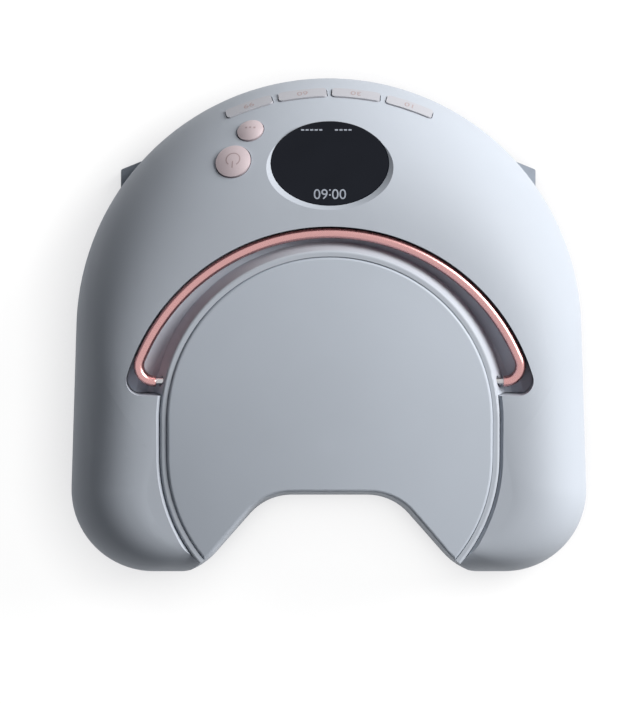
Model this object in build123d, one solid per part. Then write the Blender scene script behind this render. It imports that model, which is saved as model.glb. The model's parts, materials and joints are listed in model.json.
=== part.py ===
"""Nail lamp: a cordless lamp that cures gel polish, with a carrying handle and a removable base tray.

Millimetres, +Z up. The origin is on the ground under the middle of the lamp. The hand goes in
from -Y, and the display leans towards +Y. The lamp is mirrored about X = 0, apart from its buttons.
"""

import os
from math import acos, asin, atan2, cos, radians, sin, sqrt, tan

from build123d import *

# Overall size
LAMP_WIDTH = 234.0  # at the front corners, where it is widest
LAMP_DEPTH = 224.0
REAR_RADIUS = 114.8
DECK_HEIGHT = 88.0  # height of the deck plane above the ground at the origin
DECK_SLOPE = 0.1  # rise of the deck plane towards the rear
WALL = 2.5
LEG_CORNER_RADIUS = 37.0

# Base tray, its feet and its finger tabs
FOOT_HEIGHT = 2.0
FOOT_RADIUS = 7.0
FOOT_POCKET = 1.0
FOOT_EDGE = 0.6
FOOT_INSET = 14.0
FOOT_ANGLE = 52.0  # degrees round from +X, with a mirror image on the other side
FOOT_FRONT_INSET = (22.0, 16.8)  # front feet, from the side and from the front
TRAY_THICKNESS = 6.0
TRAY_EDGE = 1.6
TAB_CORNER = (95.3, 71.0)  # outer corner of a tab, with a mirror image on the other side
TAB_LENGTH = 15.0
TAB_REAR_ANGLE = 22.0  # degrees that the rear edge turns in
TAB_ROOT = 14.0
TAB_ROUNDING = 1.2
TRAY_GAP = 0.3  # parting gap between the lamp and its tray
FLOOR_PLATE_THICKNESS = 0.8
FLOOR_PLATE_MARGIN = 4.0
FLOOR_PLATE_GAP = 0.2

# Outside of the housing: from its widest level to the deck plane every side rolls over in a
# squared quarter ellipse, long at the rear, where the display leans, and short in front
ROLL_SQUARENESS = 2.6  # 2 is an ellipse
ROLL_HEIGHT = 68.0
SIDE_ROLL = 36.0
REAR_ROLL = 104.0
FRONT_ROLL = 14.0
CORNER_ROLL = 14.0  # how much rounder the plan's front corners are at the widest level
DOME_LEVEL_COUNT = 8

# Hand opening: the notch in plan and the space behind it
NOTCH_DEPTH = 35.6  # from the front of the legs
NOTCH_FLAT_WIDTH = 34.0
NOTCH_FLARE = 48.6  # degrees
NOTCH_INNER_RADIUS = 24.5
NOTCH_OUTER_RADIUS = 30.0
NOTCH_LIP_SLOPE = 5.0  # degrees that the lip above the opening leans back
CAVITY_WIDTH = 140.0
CAVITY_TOP = 60.0
CAVITY_REAR = 48.0
CAVITY_DRAFT = 7.0
CAVITY_EDGE_RADIUS = 22.0
LINER_WALL = 1.8
LINER_GAP = 0.25
LINER_SETBACK = 1.2
LINER_FLANGE_WIDTH = 4.0
LINER_FLANGE_THICKNESS = 1.5

# Bottom cover, bosses and screws
COVER_THICKNESS = 2.5
COVER_GAP = 0.3
BOSS_RADIUS = 4.0
BOSS_INSET = 10.0  # boss centres inside the outline
BOSS_ANGLES = (22.0, 66.0, 114.0, 158.0)  # degrees round the rear arc from +X
BOSS_FRONT_Y = -76.0
SCREW_RADIUS = 1.4
SCREW_LENGTH = 12.0
SCREW_HEAD_RADIUS = 2.7
SCREW_HEAD_THICKNESS = 1.5
SCREW_HEAD_RECESS = 0.2
SCREW_FIT = 0.02
MAGNET_RADIUS = 5.0
MAGNET_THICKNESS = 2.0
STRIKER_THICKNESS = 1.2
MAGNET_GAP = 0.1
MAGNET_REAR = (60.0, 74.0)  # X and Y of the rear magnets, mirrored
MAGNET_FRONT = (96.0, -62.0)

# Handle and its trough, measured in the deck plane
HANDLE_RADIUS = 93.3  # outer edge of the bow
HANDLE_CENTRE_Y = -51.0
HANDLE_WIDTH = 4.8
HANDLE_HEIGHT = 7.4
HANDLE_ROUNDING = 2.2
HANDLE_BEND_RADIUS = 7.0
HANDLE_DROP = 1.6  # top of the bow below the deck plane
HANDLE_GAP = 0.7
HANDLE_END_GAP = 0.6
HANDLE_SEAT_GAP = 0.2
PIVOT_Y = -26.0
PIN_RADIUS = 1.5
PIN_FIT = 0.05
PIN_GRIP = 6.0  # how far a pin reaches into the handle
PIN_HEAD_RADIUS = 2.3
PIN_HEAD_THICKNESS = 1.4
BUSH_RADIUS = 2.5
BUSH_LENGTH = 7.0
BUSH_SETBACK = 0.4  # behind the skirt of the rim
BUSH_SEAT_WALL = 1.8
TROUGH_DEPTH = 12.0
TROUGH_END_Y = -32.0
TROUGH_SCOOP = 5.0  # width of the slope that leads fingers under the bow
TROUGH_CORNER = 6.5
WELL_WALL = 1.8
WELL_GAP = 0.3
SKIRT_SLOPE = 17.5  # degrees
COLLAR_WALL = 2.0
BEVEL_DEPTH = 1.3  # of the bevel that leads from the housing down to the panel's rim

# Centre panel, measured in the deck plane
PANEL_RADIUS = 72.1
PANEL_REAR_CENTRE_Y = -42.4
PANEL_FRONT_CENTRE_Y = -59.4
PANEL_THICKNESS = 1.8
PANEL_EDGE_RISE = 1.2  # edge of the panel above the deck plane
PANEL_CROWN = 5.0
PANEL_EDGE_RADIUS = 1.4
PANEL_GAP = 0.2
RIM_WIDTH = 2.9
RIM_EDGE_RADIUS = 1.3

# Display
DISPLAY_Y = 72.0
DISPLAY_TILT = 16.0  # degrees
LENS_WIDTH = 52.3
LENS_HEIGHT = 39.4
LENS_THICKNESS = 2.0
LENS_GAP = 0.15
LENS_LEDGE = 3.0
LENS_LEDGE_THICKNESS = 1.5
LENS_EDGE = 0.3
DISH_DEPTH = 2.8
DISH_RING_WIDTH = 4.3
DISH_WALL = 2.5
MODULE_WIDTH = 38.0
MODULE_HEIGHT = 26.0
MODULE_THICKNESS = 3.6
DISPLAY_BOARD_MARGIN = 1.5
BOARD_THICKNESS = 1.6

# Round buttons: centre in plan and radius
POWER_BUTTON = (-42.8, 72.0, 7.9)
MODE_BUTTON = (-35.2, 86.0, 5.95)
BUTTON_CROWN = 1.7
BUTTON_PROUD = 0.5
BUTTON_GAP = 0.35
BUTTON_TRAVEL = 0.7
BUTTON_LUG_REACH = 1.2
BUTTON_LUG_WIDTH = 4.0
BUTTON_LUG_THICKNESS = 1.0
BUTTON_STEM_RADIUS = 2.0
BUTTON_STEM_LENGTH = 5.0

# Timer keys along the rear rim
KEY_COUNT = 4
KEY_PITCH = 24.0
KEY_WIDTH = 21.6
KEY_HEIGHT = 8.0
KEY_CORNER = 1.6
KEY_DROP = 29.5  # middle of the keys below the deck plane's height
KEY_PROUD = 0.6
KEY_FLANGE = 0.8
KEY_BOARD_WIDTH = 8.0

# Push switches
SWITCH_SIZE = 6.0
SWITCH_BODY_HEIGHT = 2.5
PLUNGER_RADIUS = 1.7
PLUNGER_HEIGHT = 1.0
SWITCH_CLEARANCE = 0.2  # left between a stem and its plunger when a button is pressed home
SWITCH_ROUNDING = 0.6
POST_RADIUS = 1.6

# Light-emitting diodes: grid on the roof, rows on the walls
LED_RADIUS = 2.5
LED_HOLE_GAP = 0.4
LED_PROUD = 0.8
LED_EDGE = 0.64
LED_BOARD_GAP = 0.8
TOP_LED_COLUMNS = 3
TOP_LED_ROWS = 5
TOP_LED_PITCH_X = 27.0
TOP_LED_PITCH_Y = 20.0
TOP_LED_CENTRE_Y = -17.0
WALL_LED_LEVEL = 30.0
SIDE_LED_COUNT = 4
SIDE_LED_PITCH = 19.0
SIDE_LED_CENTRE_Y = -44.0
REAR_LED_COUNT = 3
REAR_LED_PITCH = 16.0
LED_BOARD_MARGIN = 7.0
LED_BOARD_WIDTH = 12.0
SPREADER_THICKNESS = 2.0
SENSOR_Y = -66.5
SENSOR_RADIUS = 2.2

# Battery, control board and charging inlet
CELL_RADIUS = 9.2
CELL_LENGTH = 65.0
CELL_GAP = 0.4
CELL_FRONT_ROW_Y = 64.0
CRADLE_WALL = 1.6
CRADLE_HEIGHT = 31.0
CONTROL_BOARD_WIDTH = 100.0
CONTROL_BOARD_DEPTH = 30.0
CONTROL_BOARD_Y = 67.0
CONTROL_POST_RADIUS = 2.5
CONTROLLER = (12.0, 1.6, 0.8)  # side, height and rounding
CONTROLLER_X = -14.0
COIL = (5.0, 5.5)  # radius and height
COIL_PLACE = (12.0, 2.0)  # from the middle of the board
CONNECTOR = (14.0, 6.0, 5.0, 0.5)  # width, depth, height and rounding
CONNECTOR_INSETS = ((16.0, 9.0), (14.0, 6.0))  # right and left, from the board's end and its front edge
CAPACITOR = (3.0, 6.0)  # radius and height
CAPACITOR_PLACE = (26.0, 8.0)  # of the first, from the middle of the board
CAPACITOR_PITCH = 9.0
JACK_LEVEL = 24.0
JACK_NOSE_RADIUS = 4.3
JACK_BORE_RADIUS = 2.9
JACK_BORE_DEPTH = 9.5
JACK_PIN_RADIUS = 1.0
JACK_BODY = (10.0, 12.0, 11.0)  # width, depth, height
JACK_GAP = 0.2
JACK_SETBACK = 0.3  # of the nose behind the housing's face
JACK_PIN_DROP = 2.0  # of the pin's end behind that face

# Levels and radii that follow from the sizes above
TRAY_TOP = FOOT_HEIGHT + TRAY_THICKNESS
LAMP_BOTTOM = TRAY_TOP + TRAY_GAP
COVER_TOP = LAMP_BOTTOM + COVER_THICKNESS
HALF_WIDTH = LAMP_WIDTH / 2
HALF_DEPTH = LAMP_DEPTH / 2
ARC_CENTRE_Y = HALF_DEPTH - REAR_RADIUS
RIM_RADIUS = PANEL_RADIUS + PANEL_GAP + RIM_WIDTH
KEY_LEVEL = DECK_HEIGHT - KEY_DROP
SWITCH_FREE_GAP = BUTTON_TRAVEL + SWITCH_CLEARANCE  # between a stem and its plunger
HANDLE_AXIS_DROP = HANDLE_DROP + HANDLE_HEIGHT / 2
HANDLE_SEAT_DROP = HANDLE_DROP + HANDLE_HEIGHT + HANDLE_SEAT_GAP
WELL_DROP = TROUGH_DEPTH + WELL_WALL
OPENING_DROP = WELL_DROP + WELL_GAP
CAVITY_HALF = CAVITY_WIDTH / 2
CAVITY_CENTRE_Y = CAVITY_REAR - CAVITY_HALF
FAR = 60.0  # reach of a cutting solid past the surface that it cuts


def sloped_plane(height, slope):
    """Level plane that rises towards the rear by slope."""
    return Plane(origin=(0, 0, height), x_dir=(1, 0, 0), z_dir=(0, -slope, 1))


DECK = sloped_plane(DECK_HEIGHT, DECK_SLOPE)
MIRRORED = (1, -1)


def level_outline(turn, inset):
    """Plan outline of the lamp at an angle up the roll: a rear arc, straight sides and front corners."""
    roll = 1 - abs(cos(turn)) ** (2 / ROLL_SQUARENESS)
    side_inset = inset * cos(turn)
    rear = REAR_RADIUS - SIDE_ROLL * roll - side_inset
    rear_y = HALF_DEPTH - REAR_ROLL * roll - side_inset - rear
    corner = LEG_CORNER_RADIUS - CORNER_ROLL * roll - side_inset
    corner_x = HALF_WIDTH - SIDE_ROLL * roll - side_inset - corner
    front_y = FRONT_ROLL * roll + side_inset - HALF_DEPTH
    corner_y = front_y + corner
    spread = Vector(corner_x, corner_y - rear_y)
    lean = atan2(spread.Y, spread.X) + acos((rear - corner) / spread.length)
    side = Vector(cos(lean), sin(lean))
    diagonal = Vector(cos(lean / 2 - radians(45)), sin(lean / 2 - radians(45)))
    rear_end = Vector(0, rear_y) + side * rear
    corner_start = Vector(corner_x, corner_y) + side * corner
    corner_middle = Vector(corner_x, corner_y) + diagonal * corner
    with BuildLine() as outline:
        ThreePointArc((-rear_end.X, rear_end.Y), (0, rear_y + rear), (rear_end.X, rear_end.Y))
        Line((rear_end.X, rear_end.Y), (corner_start.X, corner_start.Y))
        ThreePointArc(
            (corner_start.X, corner_start.Y), (corner_middle.X, corner_middle.Y), (corner_x, front_y)
        )
        Line((corner_x, front_y), (-corner_x, front_y))
        ThreePointArc(
            (-corner_x, front_y), (-corner_middle.X, corner_middle.Y), (-corner_start.X, corner_start.Y)
        )
        Line((-corner_start.X, corner_start.Y), (-rear_end.X, rear_end.Y))
    return make_face(outline.line)


def roll_height(turn):
    """Height of the outside at an angle up the roll, on the middle of the lamp."""
    rise = abs(sin(turn)) ** (2 / ROLL_SQUARENESS)
    return DECK_HEIGHT - ROLL_HEIGHT + ROLL_HEIGHT * (rise if turn > 0 else -rise)


# The housing starts below its widest level, so its lowest outline is turned back under a little
UNDER_ROLL = (DECK_HEIGHT - ROLL_HEIGHT - LAMP_BOTTOM) / ROLL_HEIGHT
BASE_TURN = -asin(UNDER_ROLL ** (ROLL_SQUARENESS / 2))


def base_outline(inset=0.0):
    """Outline of the housing where it meets its tray."""
    return level_outline(BASE_TURN, inset / cos(BASE_TURN))


def dome(inset=0.0):
    """Outside form of the lamp, or the same form moved in by a wall."""
    sections = [Pos(0, 0, LAMP_BOTTOM) * base_outline(inset)]
    for k in range(1, DOME_LEVEL_COUNT):
        turn = BASE_TURN + (radians(90) - BASE_TURN) * k / (DOME_LEVEL_COUNT - 1)
        plane = sloped_plane(roll_height(turn) - inset * sin(turn), DECK_SLOPE * max(sin(turn), 0) ** 2)
        sections.append(plane * level_outline(turn, inset))
    return loft(sections)


def deck_prism(sketch, low, high):
    """Prism on the deck plane between two distances from it, down being negative."""
    return extrude(DECK * Pos(0, 0, low) * sketch, high - low)


def stadium(radius):
    """Outline of the centre panel, or of something round it, in the deck plane."""
    middle_y = (PANEL_REAR_CENTRE_Y + PANEL_FRONT_CENTRE_Y) / 2
    spread = PANEL_REAR_CENTRE_Y - PANEL_FRONT_CENTRE_Y
    return Pos(0, middle_y) * SlotCenterToCenter(spread, 2 * radius, rotation=90)


def opening_sketch(grow=0.0):
    """Opening in the top of the housing: the crescent of the trough and the panel with its rim."""
    radius = HANDLE_RADIUS + HANDLE_GAP + grow
    end_y = TROUGH_END_Y - grow
    reach = HANDLE_CENTRE_Y + radius - end_y
    crescent = Pos(0, HANDLE_CENTRE_Y) * Circle(radius)
    crescent &= Pos(0, end_y + reach / 2) * Rectangle(2 * radius + 2, reach)
    ends = crescent.vertices().group_by(Axis.Y)[0]
    crescent = fillet(ends, TROUGH_CORNER + grow)
    return crescent + stadium(RIM_RADIUS + WELL_GAP + grow)


def notch_sketch(grow=0.0):
    """Plan of the notch between the legs, with flared and rounded sides."""
    front_y = -HALF_DEPTH - TRAY_GAP
    rear_y = NOTCH_DEPTH - HALF_DEPTH
    flare = radians(NOTCH_FLARE)
    inner_x = NOTCH_FLAT_WIDTH / 2 + NOTCH_INNER_RADIUS * tan(flare / 2)
    outer_x = inner_x + (rear_y - front_y) / tan(flare)
    side_x = HALF_WIDTH
    far_y = front_y - FAR
    with BuildLine() as outline:
        FilletPolyline(
            (-side_x, front_y),
            (-outer_x, front_y),
            (-inner_x, rear_y),
            (inner_x, rear_y),
            (outer_x, front_y),
            (side_x, front_y),
            radius=[NOTCH_OUTER_RADIUS, NOTCH_INNER_RADIUS, NOTCH_INNER_RADIUS, NOTCH_OUTER_RADIUS],
        )
        Polyline((side_x, front_y), (side_x, far_y), (-side_x, far_y), (-side_x, front_y))
    sketch = make_face(outline.line)
    return offset(sketch, grow) if grow else sketch


def notch(grow=0.0):
    """Cutting solid of the notch: upright below the lip, leaning back above it."""
    sketch = notch_sketch(grow)
    lower = extrude(Pos(0, 0, -1) * sketch, CAVITY_TOP + 1)
    upper = extrude(Pos(0, 0, CAVITY_TOP) * sketch, DECK_HEIGHT - CAVITY_TOP + 12, taper=-NOTCH_LIP_SLOPE)
    return lower + upper


def cavity_sketch(inset=0.0):
    half = CAVITY_HALF - inset
    front_y = -HALF_DEPTH - FAR
    length = CAVITY_CENTRE_Y - front_y
    box = Pos(0, front_y + length / 2) * Rectangle(2 * half, length)
    return box + Pos(0, CAVITY_CENTRE_Y) * Circle(half)


def cavity(inset=0.0):
    """Space for the hand: drafted walls, round rear, roof with soft edges, running out in front."""
    height = CAVITY_TOP - inset - LAMP_BOTTOM
    form = extrude(Pos(0, 0, LAMP_BOTTOM) * cavity_sketch(inset), height, taper=CAVITY_DRAFT)
    roof = form.edges().group_by(Axis.Z)[-1].sort_by(Axis.Y)[1:]
    return fillet(roof, CAVITY_EDGE_RADIUS - inset)


def surface_plane(form, x, y, direction=(0, 0, -1), z=None):
    """Plane on the outside of a form where a line through x, y, or x and z from the rear, meets it."""
    start = (x, y, DECK_HEIGHT + FAR) if z is None else (x, y, z)
    hits = [hit for face in form.faces() for hit in face.find_intersection_points(Axis(start, direction))]
    point, normal = min(hits, key=lambda hit: (hit[0] - Vector(*start)).length)
    across = Vector(0, 1, 0).cross(normal) if z is None else Vector(0, 0, 1).cross(normal)
    return Plane(origin=point, x_dir=across, z_dir=normal)


OUTER = dome()
MIDDLE = dome(WALL / 2)
INNER = dome(WALL)

DISPLAY = Plane(
    origin=surface_plane(OUTER, 0, DISPLAY_Y).origin,
    x_dir=(1, 0, 0),
    z_dir=(0, sin(radians(DISPLAY_TILT)), cos(radians(DISPLAY_TILT))),
)
POWER_PLANE = surface_plane(OUTER, *POWER_BUTTON[:2])
MODE_PLANE = surface_plane(OUTER, *MODE_BUTTON[:2])
KEY_PLANES = [
    surface_plane(OUTER, (k - (KEY_COUNT - 1) / 2) * KEY_PITCH, HALF_DEPTH + FAR, (0, -1, 0), KEY_LEVEL)
    for k in range(KEY_COUNT)
]


def boss_centres():
    """Plan positions of the housing bosses: round the rear arc, and one in each leg."""
    reach = REAR_RADIUS - BOSS_INSET
    rear = [
        (reach * cos(radians(angle)), ARC_CENTRE_Y + reach * sin(radians(angle))) for angle in BOSS_ANGLES
    ]
    front = [(side * (HALF_WIDTH - BOSS_INSET), BOSS_FRONT_Y) for side in MIRRORED]
    return rear + front


def at_points(points, solid, level=0.0):
    """Copies of a solid at plan positions."""
    return [Pos(x, y, level) * solid for x, y in points]


def cylinder_up(radius, low, high):
    return Pos(0, 0, low) * extrude(Circle(radius), high - low)


def ellipse_ring(extra, low, high):
    """Elliptical prism round the display lens in the display plane."""
    sketch = Ellipse(LENS_WIDTH / 2 + extra, LENS_HEIGHT / 2 + extra)
    return extrude(DISPLAY * Pos(0, 0, low) * sketch, high - low)


def display_seat():
    """Solid behind the skin that carries the lens, and what is cut from it."""
    lens_low = -DISH_DEPTH - LENS_THICKNESS
    seat_low = lens_low - LENS_LEDGE_THICKNESS
    seat = ellipse_ring(DISH_RING_WIDTH + DISH_WALL, seat_low, DISH_DEPTH) & MIDDLE
    slope = DISH_RING_WIDTH / DISH_DEPTH
    top = DISH_DEPTH + 2
    wide = LENS_GAP + slope * (DISH_DEPTH + top)
    floor = Ellipse(LENS_WIDTH / 2 + LENS_GAP, LENS_HEIGHT / 2 + LENS_GAP)
    mouth = Ellipse(LENS_WIDTH / 2 + wide, LENS_HEIGHT / 2 + wide)
    dish = loft([DISPLAY * Pos(0, 0, -DISH_DEPTH) * floor, DISPLAY * Pos(0, 0, top) * mouth], ruled=True)
    pocket = ellipse_ring(LENS_GAP, lens_low, -DISH_DEPTH)
    window = ellipse_ring(-LENS_LEDGE, seat_low - FAR / 4, lens_low)
    return seat, dish + pocket + window


def button_cut(plane, radius):
    """Hole in the housing for a round button, with slots behind the skin for its lugs."""
    hole = extrude(Pos(0, 0, -FAR / 4) * Circle(radius + BUTTON_GAP), FAR / 2)
    lug_low = -WALL - BUTTON_LUG_THICKNESS - 2 * BUTTON_GAP
    reach = 2 * (radius + BUTTON_LUG_REACH + BUTTON_GAP)
    slot = Rectangle(reach, BUTTON_LUG_WIDTH + 2 * BUTTON_GAP)
    slots = extrude(Pos(0, 0, lug_low) * slot, -lug_low - WALL + BUTTON_GAP)
    return plane * (hole + slots)


def switch_posts(plane, stem_end, offset_x, offset_y):
    """Two posts on the inside of the skin that carry a switch board."""
    low = stem_end - SWITCH_FREE_GAP - PLUNGER_HEIGHT - SWITCH_BODY_HEIGHT
    post = cylinder_up(POST_RADIUS, low, WALL)
    return [plane * Pos(side * offset_x, side * offset_y, 0) * post & MIDDLE for side in MIRRORED]


def key_cut(plane):
    width = KEY_WIDTH + 2 * BUTTON_GAP
    slot = RectangleRounded(width, KEY_HEIGHT + 2 * BUTTON_GAP, KEY_CORNER + BUTTON_GAP)
    seat = Rectangle(width, KEY_HEIGHT + 2 * (KEY_FLANGE + BUTTON_GAP))
    through = extrude(Pos(0, 0, -FAR / 6) * slot, FAR / 3)
    behind = extrude(Pos(0, 0, -FAR / 6) * seat, FAR / 6 - WALL + BUTTON_GAP)
    return plane * (through + behind)


BUTTON_POST_OFFSET = BUTTON_LUG_REACH + BUTTON_GAP + POST_RADIUS + 0.4
KEY_POST_OFFSET = KEY_HEIGHT / 2 + KEY_FLANGE + BUTTON_GAP + POST_RADIUS + 0.4
KEY_STEM_LENGTH = BUTTON_STEM_LENGTH
JACK_FACE_Y = surface_plane(OUTER, 0, HALF_DEPTH + FAR, (0, -1, 0), JACK_LEVEL).origin.Y
JACK_PLANE = Plane(origin=(0, JACK_FACE_Y, JACK_LEVEL), x_dir=(1, 0, 0), z_dir=(0, 1, 0))


def opening_bevel():
    """What the bevel round the panel takes off the edge of the opening."""
    edge = Pos(0, 0, -BEVEL_DEPTH) * stadium(RIM_RADIUS + WELL_GAP)
    return DECK * extrude(edge, FAR / 6, taper=-45)


def main_housing():
    shell = OUTER - notch() - (INNER - notch(WALL))
    collar = deck_prism(opening_sketch(COLLAR_WALL), -OPENING_DROP, FAR / 3) & MIDDLE
    collar -= notch()
    seat, display_cut = display_seat()
    posts = switch_posts(POWER_PLANE, -BUTTON_STEM_LENGTH, POWER_BUTTON[2] + BUTTON_POST_OFFSET, 0)
    posts += switch_posts(MODE_PLANE, -BUTTON_STEM_LENGTH, MODE_BUTTON[2] + BUTTON_POST_OFFSET, 0)
    for plane in KEY_PLANES:
        posts += switch_posts(plane, -KEY_STEM_LENGTH, 0, KEY_POST_OFFSET)
    boss = cylinder_up(BOSS_RADIUS, COVER_TOP, DECK_HEIGHT)
    bosses = [item & MIDDLE for item in at_points(boss_centres(), boss)]
    body = shell + collar + seat
    for item in posts + bosses:
        body += item
    body -= deck_prism(opening_sketch(), -OPENING_DROP, FAR / 2)
    body -= opening_bevel()
    body -= cavity()
    body -= display_cut
    body -= button_cut(POWER_PLANE, POWER_BUTTON[2])
    body -= button_cut(MODE_PLANE, MODE_BUTTON[2])
    for plane in KEY_PLANES:
        body -= key_cut(plane)
    pilot = cylinder_up(SCREW_RADIUS + SCREW_FIT, COVER_TOP - 1, COVER_TOP + SCREW_LENGTH)
    for item in at_points(boss_centres(), pilot):
        body -= item
    jack_hole = extrude(Pos(0, 0, -FAR / 4) * Circle(JACK_NOSE_RADIUS + JACK_GAP), FAR / 2)
    return body - JACK_PLANE * jack_hole


def pivot_plane(side):
    """Plane across the pivot axis at the middle of the lamp, looking out to one side."""
    centre = DECK.from_local_coords(Vector(0, PIVOT_Y, -HANDLE_AXIS_DROP))
    return Plane(origin=centre, x_dir=(0, side, 0), z_dir=(side, 0, 0))


def skirt_radius(drop):
    return RIM_RADIUS + (drop - RIM_EDGE_RADIUS) * tan(radians(SKIRT_SLOPE))


def side_x(radius, y):
    """Half width at y of the rear arc of a panel outline."""
    return sqrt(radius**2 - (y - PANEL_REAR_CENTRE_Y) ** 2)


HANDLE_UNDERSIDE_DROP = HANDLE_AXIS_DROP + HANDLE_HEIGHT / 2
HANDLE_END_X = side_x(skirt_radius(HANDLE_UNDERSIDE_DROP), PIVOT_Y - HANDLE_WIDTH / 2) + HANDLE_END_GAP
BUSH_END_X = side_x(skirt_radius(HANDLE_AXIS_DROP), PIVOT_Y + BUSH_RADIUS) - BUSH_SETBACK
BUSH_START_X = BUSH_END_X - BUSH_LENGTH


def handle_well():
    base = deck_prism(offset(opening_sketch(), -WELL_GAP), -WELL_DROP, 0)
    inner_r = HANDLE_RADIUS - HANDLE_WIDTH
    profile = Polyline(
        (0, -TROUGH_DEPTH),
        (inner_r - TROUGH_SCOOP, -TROUGH_DEPTH),
        (inner_r, -HANDLE_SEAT_DROP),
        (HANDLE_RADIUS + FAR / 4, -HANDLE_SEAT_DROP),
        (HANDLE_RADIUS + FAR / 4, FAR / 4),
        (0, FAR / 4),
        (0, -TROUGH_DEPTH),
    )
    trough = DECK * Pos(0, HANDLE_CENTRE_Y, 0) * revolve(Plane.XZ * make_face(profile), Axis.Z)
    rim = extrude(Pos(0, 0, -TROUGH_DEPTH) * stadium(RIM_RADIUS), TROUGH_DEPTH)
    rim = fillet(rim.edges().group_by(Axis.Z)[-1], RIM_EDGE_RADIUS)
    skirt_height = TROUGH_DEPTH + 1 - RIM_EDGE_RADIUS
    foot = stadium(skirt_radius(TROUGH_DEPTH + 1))
    skirt = extrude(Pos(0, 0, -TROUGH_DEPTH - 1) * foot, skirt_height, taper=SKIRT_SLOPE)
    body = base - (trough - DECK * (rim + skirt))
    body -= deck_prism(stadium(PANEL_RADIUS + PANEL_GAP), -PANEL_THICKNESS, FAR / 4)
    hollow_top = -PANEL_THICKNESS - WELL_WALL
    hollow = deck_prism(stadium(RIM_RADIUS - WELL_WALL), -WELL_DROP - 1, hollow_top)
    body -= hollow - notch(WALL)
    body -= notch()
    for side in MIRRORED:
        plane = pivot_plane(side)
        seat_width = 2 * (BUSH_RADIUS + BUSH_SEAT_WALL)
        seat = Pos(0, 0, BUSH_START_X) * extrude(Rectangle(seat_width, seat_width), BUSH_LENGTH - 1)
        below_panel = deck_prism(stadium(RIM_RADIUS - 1), -WELL_DROP, -PANEL_THICKNESS)
        body += plane * seat & below_panel
        body -= plane * cylinder_up(BUSH_RADIUS, BUSH_START_X, BUSH_END_X + FAR / 6)
        head_room = cylinder_up(PIN_HEAD_RADIUS + BUTTON_GAP, BUSH_START_X - 4, BUSH_START_X)
        body -= plane * head_room
    return body


def top_panel():
    sphere_radius = (PANEL_RADIUS**2 + PANEL_CROWN**2) / (2 * PANEL_CROWN)
    middle_y = (PANEL_REAR_CENTRE_Y + PANEL_FRONT_CENTRE_Y) / 2
    blank = deck_prism(stadium(PANEL_RADIUS), -PANEL_THICKNESS, FAR / 4)
    centre = Pos(0, middle_y, PANEL_EDGE_RISE + PANEL_CROWN - sphere_radius)
    panel = blank & DECK * centre * Sphere(sphere_radius)
    panel -= notch()
    crown = panel.faces().filter_by(GeomType.SPHERE)[0]
    return fillet(crown.edges(), PANEL_EDGE_RADIUS)


def handle_path():
    """Centre line of the handle in the deck plane: the bow, then a bend and a stub at each end."""
    radius = HANDLE_RADIUS - HANDLE_WIDTH / 2
    bend = HANDLE_BEND_RADIUS
    bend_y = PIVOT_Y + bend
    bend_x = sqrt((radius - bend) ** 2 - (bend_y - HANDLE_CENTRE_Y) ** 2)
    scale = radius / (radius - bend)
    tangent_x = bend_x * scale
    tangent_y = HANDLE_CENTRE_Y + (bend_y - HANDLE_CENTRE_Y) * scale
    middle = Vector(tangent_x - bend_x, tangent_y - bend_y).normalized() + Vector(0, -1)
    middle = middle.normalized() * bend
    with BuildLine() as path:
        Line((-HANDLE_END_X, PIVOT_Y), (-bend_x, PIVOT_Y))
        ThreePointArc((-bend_x, PIVOT_Y), (-bend_x - middle.X, bend_y + middle.Y), (-tangent_x, tangent_y))
        ThreePointArc((-tangent_x, tangent_y), (0, HANDLE_CENTRE_Y + radius), (tangent_x, tangent_y))
        ThreePointArc((tangent_x, tangent_y), (bend_x + middle.X, bend_y + middle.Y), (bend_x, PIVOT_Y))
        Line((bend_x, PIVOT_Y), (HANDLE_END_X, PIVOT_Y))
    return path.line


def handle():
    start = Plane(origin=(-HANDLE_END_X, PIVOT_Y, 0), x_dir=(0, 1, 0), z_dir=(-1, 0, 0))
    section = start * RectangleRounded(HANDLE_WIDTH, HANDLE_HEIGHT, HANDLE_ROUNDING)
    bow = DECK * Pos(0, 0, -HANDLE_AXIS_DROP) * sweep(section, handle_path())
    for side in MIRRORED:
        bore = cylinder_up(PIN_RADIUS + SCREW_FIT, HANDLE_END_X - 1, HANDLE_END_X + PIN_GRIP)
        bow -= pivot_plane(side) * bore
    return bow


def handle_pins():
    head_end = BUSH_START_X - BUTTON_GAP
    shank = cylinder_up(PIN_RADIUS, head_end, HANDLE_END_X + PIN_GRIP)
    head = cylinder_up(PIN_HEAD_RADIUS, head_end - PIN_HEAD_THICKNESS, head_end)
    return [pivot_plane(side) * (shank + head) for side in MIRRORED]


def handle_bushes():
    tube = cylinder_up(BUSH_RADIUS, BUSH_START_X, BUSH_END_X)
    bore = cylinder_up(PIN_RADIUS + PIN_FIT, BUSH_START_X - 1, BUSH_END_X + 1)
    return [pivot_plane(side) * (tube - bore) for side in MIRRORED]


def display_lens():
    lens = ellipse_ring(0, -DISH_DEPTH - LENS_THICKNESS, -DISH_DEPTH)
    top = lens.faces().sort_by(Axis(DISPLAY.origin, DISPLAY.z_dir))[-1]
    return chamfer(top.edges(), LENS_EDGE)


def display_block(width, height, top, thickness):
    """Flat rectangular block parallel to the display, below it."""
    return extrude(DISPLAY * Pos(0, 0, top - thickness) * Rectangle(width, height), thickness)


MODULE_TOP = -DISH_DEPTH - LENS_THICKNESS - LENS_LEDGE_THICKNESS


def display_module():
    return display_block(MODULE_WIDTH, MODULE_HEIGHT, MODULE_TOP, MODULE_THICKNESS)


def display_board():
    margin = 2 * DISPLAY_BOARD_MARGIN
    top = MODULE_TOP - MODULE_THICKNESS
    return display_block(MODULE_WIDTH + margin, MODULE_HEIGHT + margin, top, BOARD_THICKNESS)


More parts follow.
